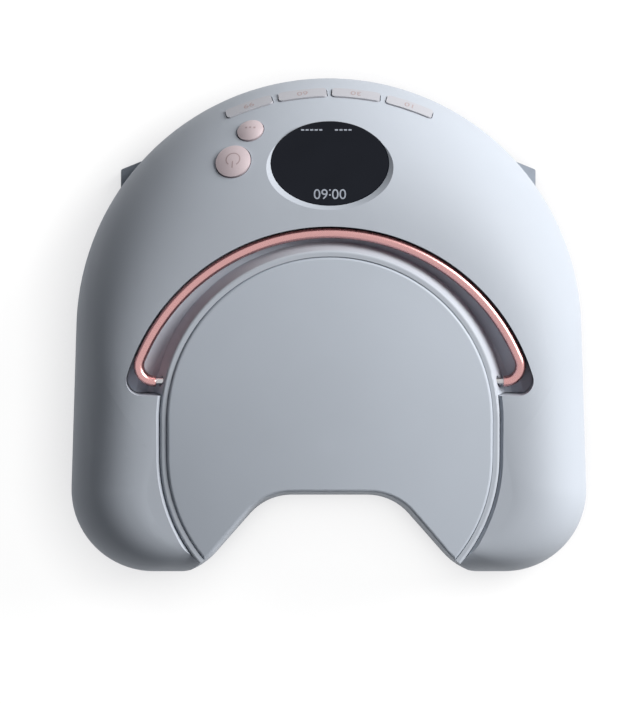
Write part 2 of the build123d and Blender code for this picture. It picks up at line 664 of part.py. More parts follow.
def round_button(plane, radius):
    """Domed cap, body through the skin, two lugs behind it and the stem on the switch."""
    dome_radius = (radius**2 + BUTTON_CROWN**2) / (2 * BUTTON_CROWN)
    depth = WALL + BUTTON_GAP
    cap = cylinder_up(radius, -depth - BUTTON_LUG_THICKNESS, BUTTON_PROUD + BUTTON_CROWN)
    cap &= Pos(0, 0, BUTTON_PROUD + BUTTON_CROWN - dome_radius) * Sphere(dome_radius)
    lugs = Rectangle(2 * (radius + BUTTON_LUG_REACH), BUTTON_LUG_WIDTH)
    cap += Pos(0, 0, -depth - BUTTON_LUG_THICKNESS) * extrude(lugs, BUTTON_LUG_THICKNESS)
    cap += cylinder_up(BUTTON_STEM_RADIUS, -BUTTON_STEM_LENGTH, -depth)
    return plane * cap


def timer_key(plane):
    """Slim key whose face follows the housing, with a flange behind the skin and a stem."""
    outline = RectangleRounded(KEY_WIDTH, KEY_HEIGHT, KEY_CORNER)
    depth = WALL + BUTTON_GAP
    face = plane * extrude(Pos(0, 0, -depth) * outline, FAR / 6) & dome(-KEY_PROUD)
    flange = Rectangle(KEY_WIDTH, KEY_HEIGHT + 2 * KEY_FLANGE)
    back = Pos(0, 0, -depth - BUTTON_LUG_THICKNESS) * extrude(flange, BUTTON_LUG_THICKNESS)
    back += cylinder_up(BUTTON_STEM_RADIUS, -KEY_STEM_LENGTH, -depth)
    return face + plane * back


def switch(plane, stem_end):
    top = stem_end - SWITCH_FREE_GAP
    body_top = top - PLUNGER_HEIGHT
    body = Pos(0, 0, body_top - SWITCH_BODY_HEIGHT) * extrude(
        RectangleRounded(SWITCH_SIZE, SWITCH_SIZE, SWITCH_ROUNDING), SWITCH_BODY_HEIGHT
    )
    return plane * (body + cylinder_up(PLUNGER_RADIUS, body_top, top))


def switch_board(plane, stem_end, width, height):
    top = stem_end - SWITCH_FREE_GAP - PLUNGER_HEIGHT - SWITCH_BODY_HEIGHT
    return plane * Pos(0, 0, top - BOARD_THICKNESS) * extrude(Rectangle(width, height), BOARD_THICKNESS)


ROUND_BUTTONS = ((POWER_PLANE, POWER_BUTTON[2]), (MODE_PLANE, MODE_BUTTON[2]))


def button_switches():
    return [switch(plane, -BUTTON_STEM_LENGTH) for plane, radius in ROUND_BUTTONS]


def button_boards():
    reach = BUTTON_POST_OFFSET + POST_RADIUS
    return [
        switch_board(plane, -BUTTON_STEM_LENGTH, 2 * (radius + reach), SWITCH_SIZE + 3)
        for plane, radius in ROUND_BUTTONS
    ]


def key_switches():
    return [switch(plane, -KEY_STEM_LENGTH) for plane in KEY_PLANES]


def key_boards():
    height = 2 * (KEY_POST_OFFSET + POST_RADIUS)
    return [switch_board(plane, -KEY_STEM_LENGTH, KEY_BOARD_WIDTH, height) for plane in KEY_PLANES]


def top_led_points():
    return [
        (
            (column - (TOP_LED_COLUMNS - 1) / 2) * TOP_LED_PITCH_X,
            TOP_LED_CENTRE_Y + (row - (TOP_LED_ROWS - 1) / 2) * TOP_LED_PITCH_Y,
        )
        for column in range(TOP_LED_COLUMNS)
        for row in range(TOP_LED_ROWS)
    ]


LINER_TOP = CAVITY_TOP - LINER_GAP
LINER_INSIDE = LINER_GAP + LINER_WALL


def wall_plane(angle):
    """Plane on the outside of the liner at the level of the wall diodes, at an angle round it."""
    draft = radians(CAVITY_DRAFT)
    reach = CAVITY_HALF - LINER_GAP - (WALL_LED_LEVEL - LAMP_BOTTOM) * tan(draft)
    outward = Vector(cos(radians(angle)), sin(radians(angle)), 0)
    origin = Vector(0, CAVITY_CENTRE_Y, WALL_LED_LEVEL) + outward * reach
    normal = outward * cos(draft) + Vector(0, 0, sin(draft))
    return Plane(origin=origin, x_dir=(-outward.Y, outward.X, 0), z_dir=normal)


def side_led_planes():
    planes = []
    for side in MIRRORED:
        plane = wall_plane(90 - 90 * side)
        for k in range(SIDE_LED_COUNT):
            along = SIDE_LED_CENTRE_Y + (k - (SIDE_LED_COUNT - 1) / 2) * SIDE_LED_PITCH
            planes.append(plane * Pos(side * (along - CAVITY_CENTRE_Y), 0, 0))
    return planes


def rear_led_planes():
    plane = wall_plane(90)
    first_x = -(REAR_LED_COUNT - 1) / 2 * REAR_LED_PITCH
    return [plane * Pos(first_x + k * REAR_LED_PITCH, 0, 0) for k in range(REAR_LED_COUNT)]


def led_lens():
    """Lens of one diode, pointing down from its board into the hand space."""
    low = -LINER_WALL - LED_PROUD
    return chamfer(cylinder_up(LED_RADIUS, low, LED_BOARD_GAP).edges().sort_by(Axis.Z)[0], LED_EDGE)


def led_locations():
    top = [Pos(x, y, LINER_TOP) for x, y in top_led_points()]
    return top + side_led_planes() + rear_led_planes()


def led_lenses():
    lens = led_lens()
    return [place * lens for place in led_locations()]


def reflector():
    """Liner of the hand space with a foot flange and a hole for each diode and the sensor."""
    shell = cavity(LINER_GAP) - cavity(LINER_INSIDE)
    flange = cavity_sketch(LINER_GAP - LINER_FLANGE_WIDTH) & base_outline(WALL + COVER_GAP)
    shell += extrude(Pos(0, 0, COVER_TOP) * flange, LINER_FLANGE_THICKNESS) - cavity(LINER_INSIDE)
    hole = cylinder_up(LED_RADIUS + LED_HOLE_GAP, -LINER_WALL - 3, LED_BOARD_GAP + 3)
    for place in led_locations():
        shell -= place * hole
    sensor_hole = cylinder_up(SENSOR_RADIUS + LED_HOLE_GAP, LINER_TOP - FAR / 6, LINER_TOP + 1)
    shell -= Pos(0, SENSOR_Y, 0) * sensor_hole
    shell -= notch(LINER_SETBACK)
    return shell - flange_relief()


def flange_relief():
    """Where the liner flange stops behind the wall of the notch."""
    block = extrude(Pos(0, 0, COVER_TOP - 1) * notch_sketch(WALL + COVER_GAP), LINER_FLANGE_THICKNESS + 2)
    return block - cavity(LINER_GAP)


def top_board_sketch():
    width = (TOP_LED_COLUMNS - 1) * TOP_LED_PITCH_X + 2 * LED_BOARD_MARGIN
    rear_y = TOP_LED_CENTRE_Y + (TOP_LED_ROWS - 1) / 2 * TOP_LED_PITCH_Y + LED_BOARD_MARGIN
    front_y = SENSOR_Y - SENSOR_RADIUS - 1
    return Pos(0, (rear_y + front_y) / 2) * RectangleRounded(width, rear_y - front_y, 4)


TOP_BOARD_LOW = LINER_TOP + LED_BOARD_GAP


def led_board_top():
    return extrude(Pos(0, 0, TOP_BOARD_LOW) * top_board_sketch(), BOARD_THICKNESS)


def heat_spreader():
    return extrude(Pos(0, 0, TOP_BOARD_LOW + BOARD_THICKNESS) * top_board_sketch(), SPREADER_THICKNESS)


def wall_board(count, pitch):
    """Board behind a row of wall diodes, on the plane of the liner's wall."""
    length = (count - 1) * pitch + 2 * LED_BOARD_MARGIN
    return Pos(0, 0, LED_BOARD_GAP) * extrude(Rectangle(length, LED_BOARD_WIDTH), BOARD_THICKNESS)


def led_boards_side():
    board = wall_board(SIDE_LED_COUNT, SIDE_LED_PITCH)
    along = SIDE_LED_CENTRE_Y - CAVITY_CENTRE_Y
    return [wall_plane(90 - 90 * side) * Pos(side * along, 0, 0) * board for side in MIRRORED]


def led_board_rear():
    return wall_plane(90) * wall_board(REAR_LED_COUNT, REAR_LED_PITCH)


def hand_sensor():
    low = LINER_TOP - LINER_WALL - LED_PROUD
    return Pos(0, SENSOR_Y, 0) * cylinder_up(SENSOR_RADIUS, low, TOP_BOARD_LOW)


def magnet_points():
    return [(side * x, y) for x, y in (MAGNET_REAR, MAGNET_FRONT) for side in MIRRORED]


def bottom_cover():
    outline = base_outline(WALL + COVER_GAP)
    outline -= cavity_sketch(LINER_GAP - COVER_GAP)
    outline -= notch_sketch(WALL + COVER_GAP)
    cover = extrude(Pos(0, 0, LAMP_BOTTOM) * outline, COVER_THICKNESS)
    hole = cylinder_up(SCREW_RADIUS + SCREW_FIT, LAMP_BOTTOM - 1, COVER_TOP + 1)
    hole += cylinder_up(SCREW_HEAD_RADIUS + COVER_GAP, LAMP_BOTTOM - 1, LAMP_BOTTOM + SCREW_HEAD_THICKNESS)
    for item in at_points(boss_centres(), hole):
        cover -= item
    pocket = cylinder_up(MAGNET_RADIUS + MAGNET_GAP, LAMP_BOTTOM - 1, LAMP_BOTTOM + MAGNET_THICKNESS)
    for item in at_points(magnet_points(), pocket):
        cover -= item
    return cover


def cover_screws():
    head = cylinder_up(SCREW_HEAD_RADIUS, LAMP_BOTTOM + SCREW_HEAD_RECESS, LAMP_BOTTOM + SCREW_HEAD_THICKNESS)
    shank = cylinder_up(SCREW_RADIUS, LAMP_BOTTOM + SCREW_HEAD_THICKNESS, COVER_TOP + SCREW_LENGTH - 1)
    return at_points(boss_centres(), head + shank)


def housing_magnets():
    magnet = cylinder_up(MAGNET_RADIUS, LAMP_BOTTOM, LAMP_BOTTOM + MAGNET_THICKNESS)
    return at_points(magnet_points(), magnet)


def striker_plates():
    return at_points(magnet_points(), cylinder_up(MAGNET_RADIUS, TRAY_TOP - STRIKER_THICKNESS, TRAY_TOP))


def floor_plate_sketch():
    return cavity_sketch(FLOOR_PLATE_MARGIN) - notch_sketch(FLOOR_PLATE_MARGIN)


def foot_points():
    reach = REAR_RADIUS - FOOT_INSET
    angle = radians(FOOT_ANGLE)
    rear = [(side * reach * cos(angle), ARC_CENTRE_Y + reach * sin(angle)) for side in MIRRORED]
    front_x = HALF_WIDTH - FOOT_FRONT_INSET[0]
    return rear + [(side * front_x, FOOT_FRONT_INSET[1] - HALF_DEPTH) for side in MIRRORED]


def finger_tab(side):
    """Tab on the rim of the tray to pull it off by."""
    x, y = TAB_CORNER
    turn = radians(TAB_REAR_ANGLE)
    rear_x = x - TAB_ROOT * cos(turn)
    rear_y = y + TAB_ROOT * sin(turn)
    points = [(x, y), (rear_x, rear_y), (x - TAB_ROOT, y - TAB_LENGTH), (x, y - TAB_LENGTH)]
    tab = make_face(Polyline(*[(side * px, py) for px, py in points], close=True))
    tab = fillet(tab.vertices().sort_by_distance((side * x, y))[:1], TAB_ROUNDING)
    return extrude(Pos(0, 0, FOOT_HEIGHT) * tab, TRAY_THICKNESS)


def base_tray():
    tray = extrude(Pos(0, 0, FOOT_HEIGHT) * base_outline(), TRAY_THICKNESS)
    tray = chamfer(tray.edges().group_by(Axis.Z)[0], TRAY_EDGE)
    tray -= extrude(notch_sketch(), TRAY_TOP + 1)
    tray += finger_tab(1) + finger_tab(-1)
    tray -= extrude(Pos(0, 0, TRAY_TOP - FLOOR_PLATE_THICKNESS) * floor_plate_sketch(), TRAY_THICKNESS)
    pocket = cylinder_up(MAGNET_RADIUS + MAGNET_GAP, TRAY_TOP - STRIKER_THICKNESS, TRAY_TOP + 1)
    for item in at_points(magnet_points(), pocket):
        tray -= item
    foot_pocket = cylinder_up(FOOT_RADIUS + MAGNET_GAP, FOOT_HEIGHT - 1, FOOT_HEIGHT + FOOT_POCKET)
    for item in at_points(foot_points(), foot_pocket):
        tray -= item
    return tray


def floor_plate():
    sketch = offset(floor_plate_sketch(), -FLOOR_PLATE_GAP)
    return extrude(Pos(0, 0, TRAY_TOP - FLOOR_PLATE_THICKNESS) * sketch, FLOOR_PLATE_THICKNESS)


def rubber_feet():
    foot = cylinder_up(FOOT_RADIUS, 0, FOOT_HEIGHT + FOOT_POCKET)
    foot = chamfer(foot.edges().sort_by(Axis.Z)[0], FOOT_EDGE)
    return at_points(foot_points(), foot)


CELL_PITCH = 2 * CELL_RADIUS + CELL_GAP
CELL_LOW = COVER_TOP + CRADLE_WALL


def cell_places():
    """Two layers, each of a pair end to end in front and a single cell behind."""
    places = []
    for layer in range(2):
        level = CELL_LOW + CELL_RADIUS + layer * CELL_PITCH
        for side in MIRRORED:
            places.append((side * (CELL_LENGTH + CELL_GAP) / 2, CELL_FRONT_ROW_Y, level))
        places.append((0, CELL_FRONT_ROW_Y + CELL_PITCH, level))
    return places


def battery_cells():
    cell = Rot(0, 90, 0) * Cylinder(CELL_RADIUS, CELL_LENGTH)
    return [Pos(*place) * cell for place in cell_places()]


def cradle_sketch(grow):
    """Outline round the cells: a wide front bay and a narrow rear bay."""
    front_y = CELL_FRONT_ROW_Y - CELL_RADIUS - grow
    step_y = CELL_FRONT_ROW_Y + CELL_RADIUS + grow
    rear_y = step_y + CELL_PITCH
    wide = CELL_LENGTH + CELL_GAP / 2 + grow
    narrow = CELL_LENGTH / 2 + grow
    front = Pos(0, (front_y + step_y) / 2) * Rectangle(2 * wide, step_y - front_y)
    rear = Pos(0, (front_y + rear_y) / 2) * Rectangle(2 * narrow, rear_y - front_y)
    return front + rear


CONTROL_BOARD_LOW = CELL_LOW + 2 * CELL_PITCH + 1.5


def control_post_points():
    x = CONTROL_BOARD_WIDTH / 2 - CONTROL_POST_RADIUS
    front_y = CELL_FRONT_ROW_Y - CELL_RADIUS - CELL_GAP - CRADLE_WALL / 2
    return [(side * x, front_y) for side in MIRRORED] + [
        (side * (CELL_LENGTH / 2 + CELL_GAP + CRADLE_WALL / 2), CELL_FRONT_ROW_Y + 1.6 * CELL_RADIUS)
        for side in MIRRORED
    ]


def battery_cradle():
    outer = extrude(Pos(0, 0, COVER_TOP) * cradle_sketch(CELL_GAP + CRADLE_WALL), CRADLE_HEIGHT)
    inside = extrude(Pos(0, 0, CELL_LOW) * cradle_sketch(CELL_GAP), CRADLE_HEIGHT)
    post = cylinder_up(CONTROL_POST_RADIUS, COVER_TOP, CONTROL_BOARD_LOW)
    cradle = outer
    for item in at_points(control_post_points(), post):
        cradle += item
    for x, y, level in cell_places():
        room = Cylinder(CELL_RADIUS + CELL_GAP / 2, CELL_LENGTH + CELL_GAP)
        inside += Pos(x, y, level) * Rot(0, 90, 0) * room
    return cradle - inside


def control_board():
    front_y = CONTROL_BOARD_Y - CONTROL_BOARD_DEPTH / 2
    rear_y = CONTROL_BOARD_Y + CONTROL_BOARD_DEPTH / 2
    sketch = Pos(0, (front_y + rear_y) / 2) * RectangleRounded(CONTROL_BOARD_WIDTH, rear_y - front_y, 2)
    return extrude(Pos(0, 0, CONTROL_BOARD_LOW) * sketch, BOARD_THICKNESS)


def control_chips():
    """What stands on the control board: controller, driver coil, capacitors and two connectors."""
    top = CONTROL_BOARD_LOW + BOARD_THICKNESS
    y = CONTROL_BOARD_Y
    front = y - CONTROL_BOARD_DEPTH / 2
    side, controller_height, controller_rounding = CONTROLLER
    width, depth, height, rounding = CONNECTOR
    controller = extrude(RectangleRounded(side, side, controller_rounding), controller_height)
    connector = extrude(RectangleRounded(width, depth, rounding), height)
    chips = [
        Pos(CONTROLLER_X, y, top) * controller,
        Pos(COIL_PLACE[0], y + COIL_PLACE[1], top) * cylinder_up(COIL[0], 0, COIL[1]),
    ]
    for mirror, (end_inset, front_inset) in zip(MIRRORED, CONNECTOR_INSETS):
        x = mirror * (CONTROL_BOARD_WIDTH / 2 - end_inset)
        chips.append(Pos(x, front + front_inset, top) * connector)
    for k in range(2):
        x = CAPACITOR_PLACE[0] + CAPACITOR_PITCH * k
        chips.append(Pos(x, y + CAPACITOR_PLACE[1], top) * cylinder_up(CAPACITOR[0], 0, CAPACITOR[1]))
    return chips


def charge_jack():
    width, depth, height = JACK_BODY
    nose = cylinder_up(JACK_NOSE_RADIUS, -WALL - 2, -JACK_SETBACK)
    body = Pos(0, 0, -WALL - 1 - depth) * extrude(Rectangle(width, height), depth)
    bore_end = -JACK_SETBACK - JACK_BORE_DEPTH
    bore = cylinder_up(JACK_BORE_RADIUS, bore_end, 1)
    pin = cylinder_up(JACK_PIN_RADIUS, bore_end, -JACK_PIN_DROP)
    return JACK_PLANE * (nose + body - bore + pin)


PARTS = {
    "main_housing": main_housing,
    "handle_well": handle_well,
    "top_panel": top_panel,
    "handle": handle,
    "handle_pins": handle_pins,
    "handle_bushes": handle_bushes,
    "display_lens": display_lens,
    "display_module": display_module,
    "display_board": display_board,
    "power_button": lambda: round_button(POWER_PLANE, POWER_BUTTON[2]),
    "mode_button": lambda: round_button(MODE_PLANE, MODE_BUTTON[2]),
    "button_switches": button_switches,
    "button_boards": button_boards,
    "key_switches": key_switches,
    "key_boards": key_boards,
    "reflector": reflector,
    "led_lenses": led_lenses,
    "led_board_top": led_board_top,
    "led_boards_side": led_boards_side,
    "led_board_rear": led_board_rear,
    "heat_spreader": heat_spreader,
    "hand_sensor": hand_sensor,
    "battery_cells": battery_cells,
    "battery_cradle": battery_cradle,
    "control_board": control_board,
    "control_chips": control_chips,
    "charge_jack": charge_jack,
    "bottom_cover": bottom_cover,
    "cover_screws": cover_screws,
    "housing_magnets": housing_magnets,
    "striker_plates": striker_plates,
    "base_tray": base_tray,
    "floor_plate": floor_plate,
    "rubber_feet": rubber_feet,
}


def main():
    os.makedirs("parts", exist_ok=True)
    for name, build in PARTS.items():
        made = build()
        solids = made if isinstance(made, list) else [made]
        pieces = [solid for item in solids for solid in item.solids()]
        export_step(Compound(children=pieces), f"parts/{name}.step")
    for k, plane in enumerate(KEY_PLANES):
        export_step(timer_key(plane), f"parts/timer_key_{k + 1}.step")
    for name, plane in (("power", POWER_PLANE), ("mode", MODE_PLANE), *enumerate(KEY_PLANES, 1)):
        print(name, "press axis", tuple(round(-v, 4) for v in plane.z_dir))
    print("pivot", tuple(round(v, 3) for v in pivot_plane(1).origin))


main()
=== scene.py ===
"""Nail lamp: finish, light and camera round the fixed frame of its solids.

Metres, +Z up, the same frame as the solids: +Y is the rear, where the display is.
"""

import json
import math

import bmesh
import bpy
from mathutils import Matrix, Vector
from mathutils.bvhtree import BVHTree


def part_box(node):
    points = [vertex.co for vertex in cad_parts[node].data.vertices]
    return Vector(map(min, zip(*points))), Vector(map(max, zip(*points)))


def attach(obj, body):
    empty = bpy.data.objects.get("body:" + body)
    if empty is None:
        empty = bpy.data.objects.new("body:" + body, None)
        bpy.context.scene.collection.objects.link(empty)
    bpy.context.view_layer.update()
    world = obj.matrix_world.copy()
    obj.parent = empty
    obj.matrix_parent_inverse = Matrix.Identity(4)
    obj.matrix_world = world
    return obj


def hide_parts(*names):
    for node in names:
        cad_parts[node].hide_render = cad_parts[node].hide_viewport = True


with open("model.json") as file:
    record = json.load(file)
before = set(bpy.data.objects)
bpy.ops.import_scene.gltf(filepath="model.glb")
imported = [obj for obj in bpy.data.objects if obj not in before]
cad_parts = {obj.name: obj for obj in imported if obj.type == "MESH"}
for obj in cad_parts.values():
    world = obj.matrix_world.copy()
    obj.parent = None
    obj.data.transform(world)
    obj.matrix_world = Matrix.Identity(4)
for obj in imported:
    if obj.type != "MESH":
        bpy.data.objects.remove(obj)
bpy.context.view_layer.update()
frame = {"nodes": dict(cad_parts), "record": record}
NODES = frame["nodes"]
JOINTS = frame["record"]["behaviour"]["joints"]
MM = 0.001


def add_object(name, data):
    """New object in the scene."""
    added = bpy.data.objects.new(name, data)
    bpy.context.scene.collection.objects.link(added)
    return added


def mesh_from(form, name):
    """Mesh of a finished bmesh, which is freed."""
    data = bpy.data.meshes.new(name)
    form.to_mesh(data)
    form.free()
    return data


# Camera: straight down from two metres, a little left of the lamp's middle
CAMERA_HEIGHT = 2.0
CAMERA_X = -0.019
VIEW_WIDTH = 0.2925  # seen at the lamp's widest level
WIDEST_LEVEL = 0.02
SENSOR_WIDTH = 36.0
NEAREST_SEEN = 0.05
IMAGE_WIDTH = 640
SHIFT_PIXELS = (33.1, -28.0)

camera_data = bpy.data.cameras.new("camera")
camera_data.sensor_fit = "HORIZONTAL"
camera_data.sensor_width = SENSOR_WIDTH
camera_data.lens = (CAMERA_HEIGHT - WIDEST_LEVEL) * SENSOR_WIDTH / VIEW_WIDTH
camera_data.shift_x = SHIFT_PIXELS[0] / IMAGE_WIDTH
camera_data.shift_y = SHIFT_PIXELS[1] / IMAGE_WIDTH
camera_data.clip_start = NEAREST_SEEN
camera = add_object("camera", camera_data)
camera.location = (CAMERA_X, 0.0, CAMERA_HEIGHT)
bpy.context.scene.camera = camera


# Helpers for materials
def srgb(*values):
    """Linear colour of a colour given in 0 to 255 as a screen shows it."""
    channels = [v / 255 for v in values]
    linear = [c / 12.92 if c <= 0.04045 else ((c + 0.055) / 1.055) ** 2.4 for c in channels]
    return (*linear, 1.0)


def shade(colour, factor):
    return tuple(c * factor for c in colour[:3]) + (1.0,)


class Finish:
    """A material under construction: its nodes, links and main shader."""

    def __init__(self, name):
        self.material = bpy.data.materials.new(name)
        self.material.use_nodes = True
        self.nodes = self.material.node_tree.nodes
        self.links = self.material.node_tree.links
        self.shader = self.nodes["Principled BSDF"]
        self.place = self.nodes.new("ShaderNodeTexCoord").outputs["Object"]

    def set(self, **values):
        """Constants on the shader's own sockets."""
        for key, value in values.items():
            self.shader.inputs[key.replace("_", " ")].default_value = value

    def feed(self, socket, output):
        self.links.new(output, self.shader.inputs[socket])

    def noise(self, scale, detail=2.0, rough=0.5, stretch=None):
        place = self.place
        if stretch:
            mapping = self.nodes.new("ShaderNodeMapping")
            mapping.inputs["Scale"].default_value = stretch
            self.links.new(place, mapping.inputs["Vector"])
            place = mapping.outputs["Vector"]
        node = self.nodes.new("ShaderNodeTexNoise")
        node.inputs["Scale"].default_value = scale
        node.inputs["Detail"].default_value = detail
        node.inputs["Roughness"].default_value = rough
        self.links.new(place, node.inputs["Vector"])
        return node.outputs["Fac"]

    def ramp(self, factor, *stops):
        """Colour between two stops, each a position and a colour."""
        node = self.nodes.new("ShaderNodeValToRGB")
        for element, (position, colour) in zip(node.color_ramp.elements, stops):
            element.position = position
            element.color = colour
        self.links.new(factor, node.inputs["Fac"])
        return node.outputs["Color"]

    def map(self, factor, low, high):
        node = self.nodes.new("ShaderNodeMapRange")
        node.inputs["To Min"].default_value = low
        node.inputs["To Max"].default_value = high
        self.links.new(factor, node.inputs["Value"])
        return node.outputs["Result"]

    def bump(self, height, distance, strength):
        node = self.nodes.new("ShaderNodeBump")
        node.inputs["Distance"].default_value = distance
        node.inputs["Strength"].default_value = strength
        self.links.new(height, node.inputs["Height"])
        return node.outputs["Normal"]


PLASTIC_SPECULAR = 0.3
DRIFT_SCALE = 14.0
SHEEN_SCALE = 60.0
SHEEN_SPREAD = 0.05
GRAIN_STRENGTH = 0.35


def moulded(name, colour, roughness, grain=2600.0, grain_depth=0.00002, spread=0.03):
    """Moulded plastic: spark-eroded grain, slow drift of tone, a little variation of sheen."""
    finish = Finish(name)
    finish.set(Specular_IOR_Level=PLASTIC_SPECULAR)
    drift = finish.noise(DRIFT_SCALE, detail=3.0)
    darker = shade(colour, 1 - spread)
    lighter = shade(colour, 1 + spread)
    finish.feed("Base Color", finish.ramp(drift, (0.3, darker), (0.7, lighter)))
    sheen = finish.noise(SHEEN_SCALE)
    duller = finish.map(sheen, roughness - SHEEN_SPREAD, roughness + SHEEN_SPREAD)
    finish.feed("Roughness", duller)
    grains = finish.noise(grain, detail=3.0, rough=0.6)
    finish.feed("Normal", finish.bump(grains, grain_depth, GRAIN_STRENGTH))
    return finish


LINE_DEPTH = 0.00001
LINE_STRENGTH = 0.2
LINE_TONES = (0.95, 1.03)
POLISH_RANGE = (0.8, 1.2)


def metal(name, colour, roughness, stretch=(40.0, 40.0, 40.0), scale=40.0, metallic=1.0):
    """Metal, or paint with metal flake, with fine drawn lines and slightly uneven polish."""
    finish = Finish(name)
    finish.set(Metallic=metallic)
    lines = finish.noise(scale, detail=4.0, rough=0.6, stretch=stretch)
    darker, lighter = [shade(colour, tone) for tone in LINE_TONES]
    finish.feed("Base Color", finish.ramp(lines, (0.25, darker), (0.75, lighter)))
    low, high = [roughness * share for share in POLISH_RANGE]
    finish.feed("Roughness", finish.map(lines, low, high))
    finish.feed("Normal", finish.bump(lines, LINE_DEPTH, LINE_STRENGTH))
    return finish


# Finishes that show outside
housing = moulded("housing_satin", srgb(182, 189, 200), 0.62)
panel = moulded("panel_satin", srgb(189, 197, 209), 0.62)
well = moulded("well_satin", srgb(190, 197, 208), 0.6)
# Tray grey made darker than the housing's plastic: painted shade for the tabs at the rear
# corners, which stand in the lamp's shade
tray = moulded("tray_satin_painted_shade", srgb(150, 157, 168), 0.5)
rubber = moulded(
    "rubber_black", srgb(38, 38, 40), 0.8, grain=900.0, grain_depth=0.00005, spread=0.12
)
rose = metal("rose_gold", srgb(205, 155, 154), 0.27)
rose.set(Coat_Weight=0.25, Coat_Roughness=0.08)
button_rose = metal("button_rose", srgb(198, 184, 189), 0.5, metallic=0.25)
key_rose = metal("key_rose", srgb(184, 185, 193), 0.58, metallic=0.1)

glass = Finish("smoked_glass")
glass.set(Roughness=0.06, Specular_IOR_Level=0.14, IOR=1.5)
glass_tone = glass.ramp(glass.noise(30.0), (0.35, srgb(13, 17, 27)), (0.65, srgb(17, 21, 31)))
glass.feed("Base Color", glass_tone)
glass_ripple = glass.noise(55.0, detail=1.0)
glass.feed("Normal", glass.bump(glass_ripple, distance=0.00001, strength=0.1))

# Finishes of the hand space and of what is inside
liner = moulded("liner_white", srgb(232, 234, 238), 0.22, grain=1500.0, spread=0.015)
acetal = moulded("acetal", srgb(226, 227, 228), 0.35)
black = moulded("black_plastic", srgb(34, 35, 38), 0.5, grain=1800.0, spread=0.1)
wrap = moulded("cell_wrap", srgb(62, 120, 172), 0.25, grain=700.0, spread=0.05)
steel = metal("nickel_steel", srgb(190, 190, 192), 0.25)
sheet = metal(
    "bright_sheet", srgb(188, 191, 197), 0.36, stretch=(4.0, 300.0, 300.0), scale=20.0
)
aluminium = metal(
    "spreader_aluminium", srgb(205, 206, 208), 0.35, stretch=(200.0, 6.0, 200.0), scale=20.0
)

board = Finish("circuit_board")
board.set(Roughness=0.35, Coat_Weight=0.4, Coat_Roughness=0.2)
tracks = board.nodes.new("ShaderNodeTexBrick")
tracks.inputs["Scale"].default_value = 160.0
tracks.inputs["Mortar Size"].default_value = 0.03
tracks.inputs["Color1"].default_value = srgb(20, 92, 58)
tracks.inputs["Color2"].default_value = srgb(24, 100, 64)
tracks.inputs["Mortar"].default_value = srgb(48, 134, 88)
board.links.new(board.place, tracks.inputs["Vector"])
board.feed("Base Color", tracks.outputs["Color"])
board.feed("Normal", board.bump(tracks.outputs["Fac"], distance=0.00003, strength=0.4))

lens = Finish("diode_lens")
lens.set(Roughness=0.08, Coat_Weight=0.5, Coat_Roughness=0.05, Specular_IOR_Level=0.6)
lens_tone = lens.ramp(
    lens.noise(400.0), (0.35, srgb(222, 216, 240)), (0.65, srgb(236, 232, 246))
)
lens.feed("Base Color", lens_tone)

WEAR = {
    "main_housing": housing,
    "handle_well": well,
    "top_panel": panel,
    "handle": rose,
    "power_button": button_rose,
    "mode_button": button_rose,
    "timer_key_1": key_rose,
    "timer_key_2": key_rose,
    "timer_key_3": key_rose,
    "timer_key_4": key_rose,
    "display_lens": glass,
    "reflector": liner,
    "base_tray": tray,
    "bottom_cover": tray,
    "floor_plate": sheet,
    "rubber_feet": rubber,
    "handle_pins": steel,
    "cover_screws": steel,
    "striker_plates": steel,
    "housing_magnets": steel,
    "handle_bushes": acetal,
    "display_module": black,
    "button_switches": black,
    "key_switches": black,
    "control_chips": black,
    "charge_jack": black,
    "battery_cradle": black,
    "hand_sensor": black,
    "display_board": board,
    "button_boards": board,
    "key_boards": board,
    "control_board": board,
    "led_board_top": board,
    "led_boards_side": board,
    "led_board_rear": board,
    "led_lenses": lens,
    "heat_spreader": aluminium,
    "battery_cells": wrap,
}
for name, finish in WEAR.items():
    data = NODES[name].data
    data.materials.clear()
    data.materials.append(finish.material)


# Handle: a fully rounded bail on the plain one's centre line, in millimetres as in the solids
BOW_RADIUS = 90.9  # of the centre line
BOW_CENTRE_Y = -51.0
BEND_RADIUS = 7.0
PIVOT_Y = -26.0
STUB_END_X = 76.95
SECTION_HALF = (2.4, 3.7)
SECTION_SQUARENESS = 2.15  # 2 is an ellipse
AXIS_DROP = 5.3
DECK_HEIGHT = 88.0
DECK_SLOPE = 0.1
PIN_END_X = 80.0
BOW_STEPS = 96
BEND_STEPS = 14
SECTION_STEPS = 28


def arc_points(centre, radius, start, end, steps):
    """Points of an arc and their outward directions, without the first one."""
    spots = []
    for k in range(1, steps + 1):
        angle = start + (end - start) * k / steps
        out = Vector((math.cos(angle), math.sin(angle)))
        spots.append((Vector(centre) + out * radius, out))
    return spots


def bail_line():
    """Points and sideways directions of the centre line, in the deck plane, left to right."""
    bend_y = PIVOT_Y + BEND_RADIUS
    bend_x = math.sqrt((BOW_RADIUS - BEND_RADIUS) ** 2 - (bend_y - BOW_CENTRE_Y) ** 2)
    bow_end = math.atan2(bend_y - BOW_CENTRE_Y, bend_x)
    rear = math.pi / 2
    middle = (Vector((0, BOW_CENTRE_Y + BOW_RADIUS)), Vector((0, 1)))
    bow = arc_points((0, BOW_CENTRE_Y), BOW_RADIUS, rear, bow_end, BOW_STEPS)
    bend = arc_points((bend_x, bend_y), BEND_RADIUS, bow_end, -rear, BEND_STEPS)
    stub = (Vector((STUB_END_X, PIVOT_Y)), Vector((0, -1)))
    right = [*bow, *bend, stub]
    left = [(Vector((-spot.x, spot.y)), Vector((-out.x, out.y))) for spot, out in right[::-1]]
    return [*left, middle, *right]


def squared(value):
    """A cosine or sine drawn out towards a rounded rectangle."""
    return math.copysign(abs(value) ** (2 / SECTION_SQUARENESS), value)


